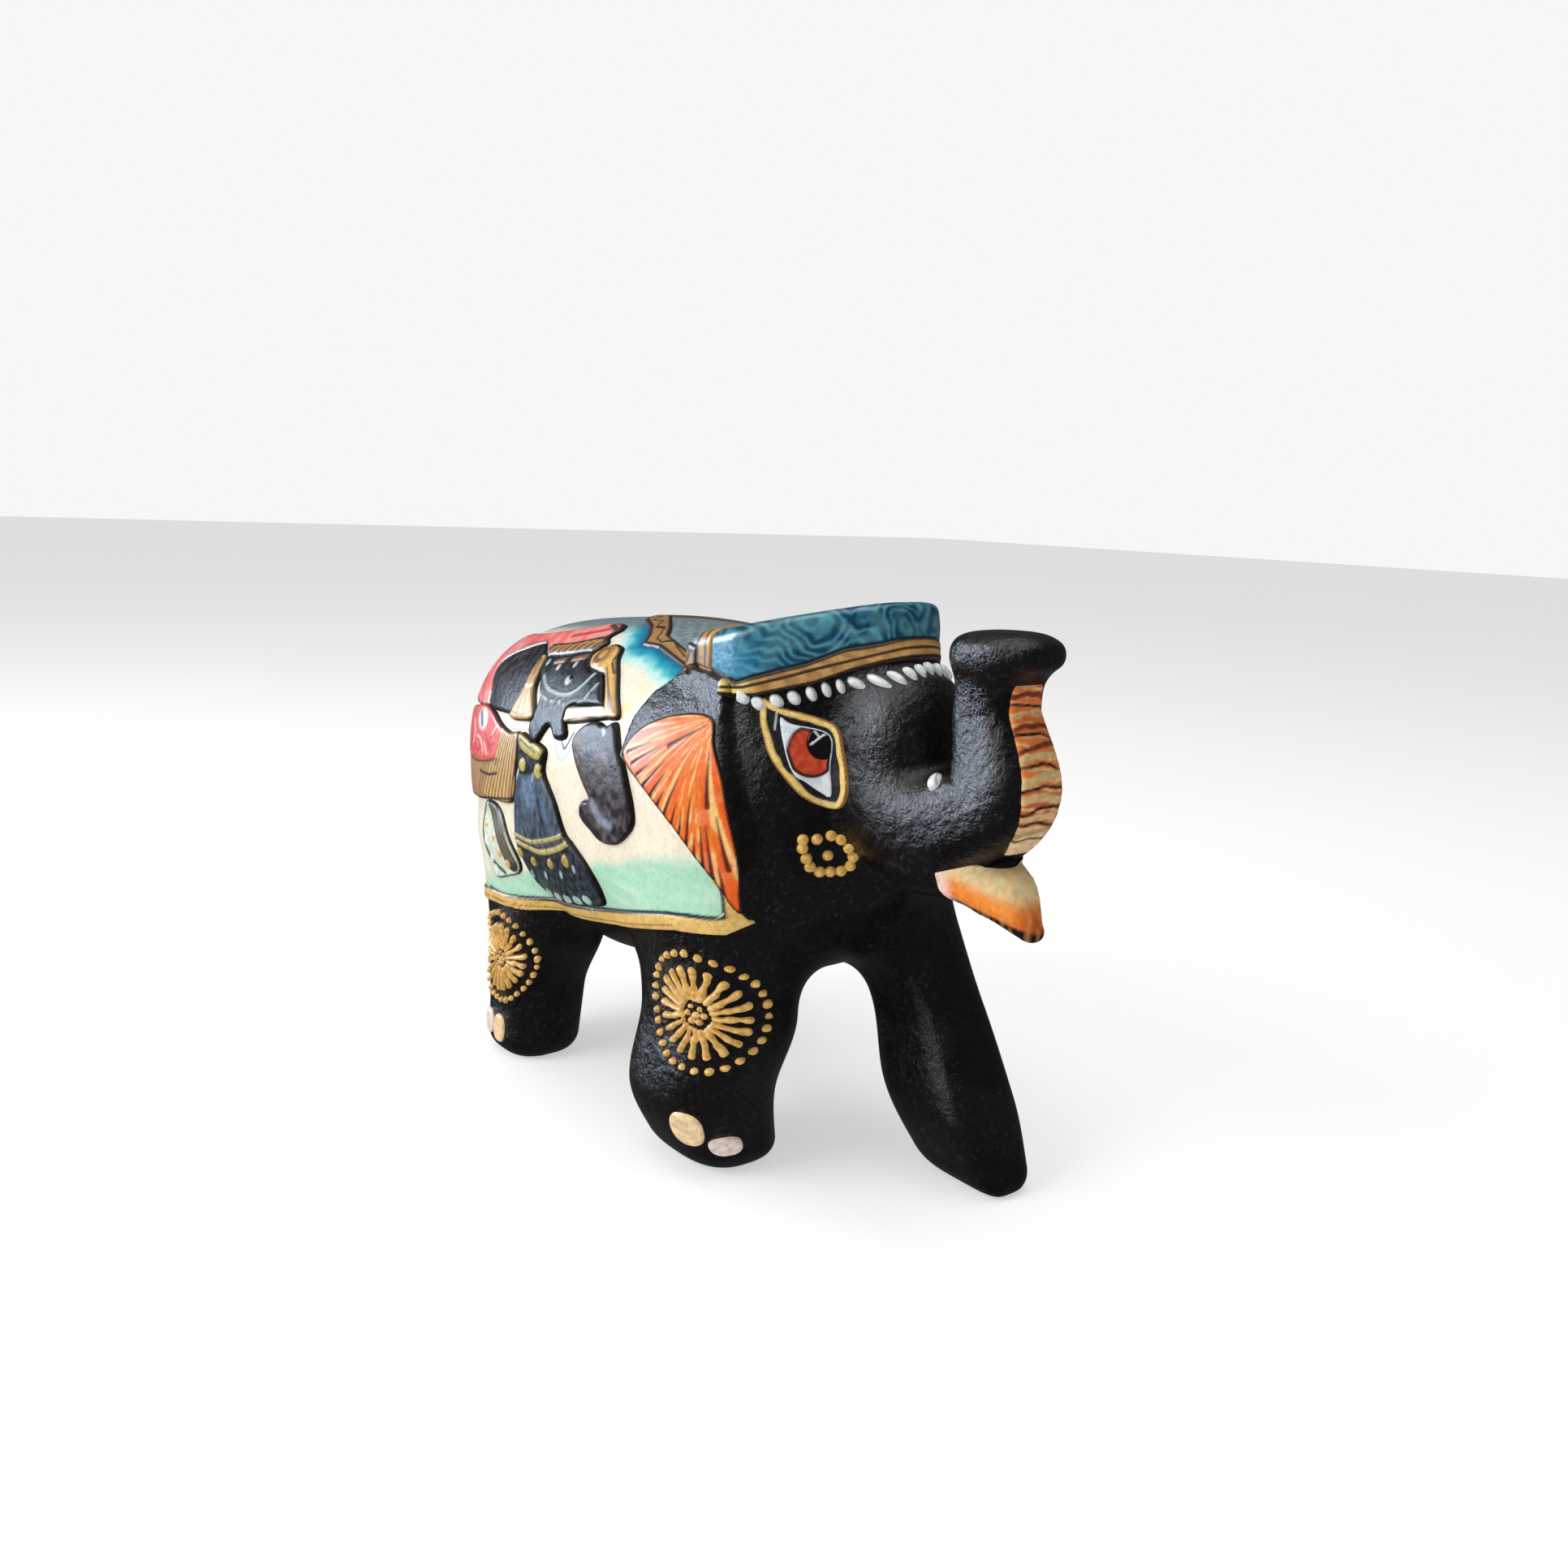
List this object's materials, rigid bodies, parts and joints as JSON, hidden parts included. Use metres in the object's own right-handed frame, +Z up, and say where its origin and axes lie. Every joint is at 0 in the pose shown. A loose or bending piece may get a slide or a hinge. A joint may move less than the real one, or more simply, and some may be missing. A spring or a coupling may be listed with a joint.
{
  "type": "carved elephant figurine",
  "caption": "Hand-carved standing elephant with a raised trunk, painted flank pictures, a saddle cloth and gold paint work.",
  "frame": {"origin": "bottom centre of the bounding box, on the plane the feet stand on", "axes": "+Z up, the elephant faces -Y, its right side is at -X"},
  "size_m": [0.0492, 0.1104, 0.0777],
  "materials": {
    "black_lacquer_wood": "glossy black lacquer over fine wood grain",
    "picture_enamel": "glossy hand-painted enamel, cream, mint and sky blue",
    "gold_paint": "satin gold paint",
    "saddle_enamel": "glossy grey-blue enamel with small flowers",
    "teal_enamel": "glossy teal enamel with brush swirls",
    "white_paint": "glossy white paint",
    "red_paint": "glossy red-brown paint",
    "black_paint": "glossy black paint",
    "orange_enamel": "glossy orange enamel streaked with cream",
    "relief_paste": "raised emboss paste, lacquered",
    "coral_paint": "coral red paint on raised paste",
    "toenail_paint": "glossy cream paint"
  },
  "bodies": {
    "root": {"cap": "teal_enamel", "cap_band": "gold_paint", "carving": "black_lacquer_wood", "ear_panel_l": "orange_enamel", "ear_panel_r": "orange_enamel", "eye_ring_l": "gold_paint", "eye_ring_r": "gold_paint", "eye_white_l": "white_paint", "eye_white_r": "white_paint", "figure_body_l": "relief_paste", "figure_body_r": "relief_paste", "figure_cap_l": "coral_paint", "figure_cap_r": "coral_paint", "figure_cloth_l": "coral_paint", "figure_cloth_r": "coral_paint", "figure_face_l": "relief_paste", "figure_face_r": "relief_paste", "figure_leg_l": "relief_paste", "figure_leg_r": "relief_paste", "figure_rope_l": "gold_paint", "figure_rope_r": "gold_paint", "figure_tassels_l": "gold_paint", "figure_tassels_r": "gold_paint", "figure_trunk_l": "relief_paste", "figure_trunk_r": "relief_paste", "figure_tusk_l": "white_paint", "figure_tusk_r": "white_paint", "forehead_pearls": "white_paint", "iris_l": "red_paint", "iris_r": "red_paint", "lip_panel": "orange_enamel", "medallion_front_l": "gold_paint", "medallion_front_r": "gold_paint", "medallion_hind_l": "gold_paint", "medallion_hind_r": "gold_paint", "neck_strip": "gold_paint", "picture_border_l": "gold_paint", "picture_border_r": "gold_paint", "picture_l": "picture_enamel", "picture_r": "picture_enamel", "pupil_l": "black_paint", "pupil_r": "black_paint", "rosette_l": "gold_paint", "rosette_r": "gold_paint", "saddle": "saddle_enamel", "saddle_band": "gold_paint", "toenails_front_l": "toenail_paint", "toenails_front_r": "toenail_paint", "toenails_hind_l": "toenail_paint", "toenails_hind_r": "toenail_paint", "trunk_bead_l": "white_paint", "trunk_bead_r": "white_paint", "trunk_stripes": "orange_enamel"}
  },
  "joints": []
}
